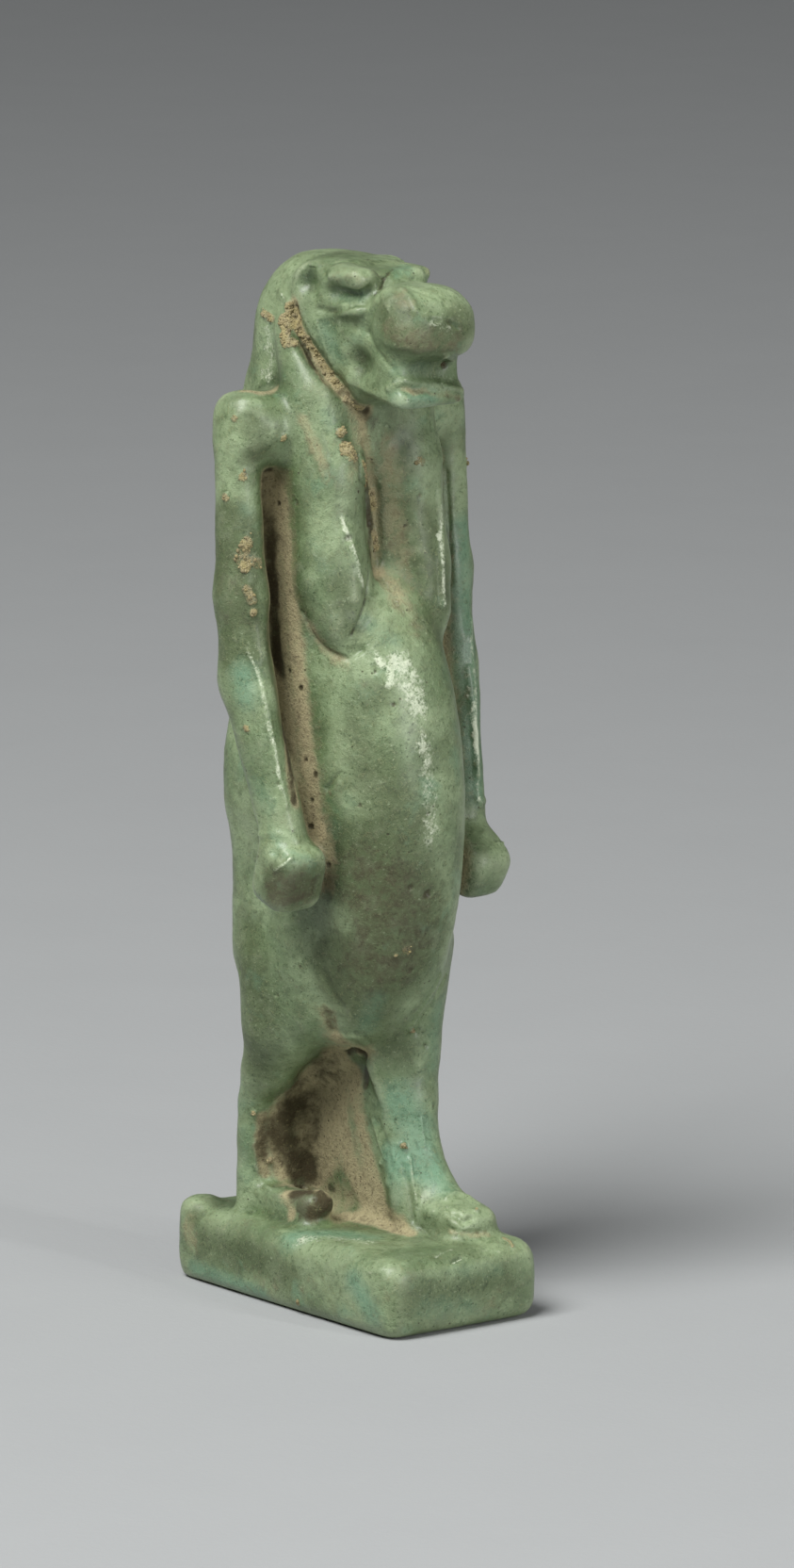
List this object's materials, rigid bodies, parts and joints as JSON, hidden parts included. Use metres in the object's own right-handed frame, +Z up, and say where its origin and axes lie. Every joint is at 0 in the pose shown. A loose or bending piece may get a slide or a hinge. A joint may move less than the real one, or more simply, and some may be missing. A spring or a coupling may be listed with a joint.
{
  "type": "deity amulet",
  "caption": "Standing hippopotamus-goddess amulet of glazed faience, striding on a rectangular base with rounded edges, arms held down, plain pillar at the back.",
  "frame": {"origin": "on the underside of the base, under the centre of the bounding box", "axes": "+Z up through the crown, -Y to the figure's front, -X to its right side"},
  "size_m": [0.0161, 0.0188, 0.054],
  "materials": {
    "faience": "satin, pale green glaze with brown soil stains"
  },
  "bodies": {
    "root": {"amulet": "faience"}
  },
  "joints": []
}
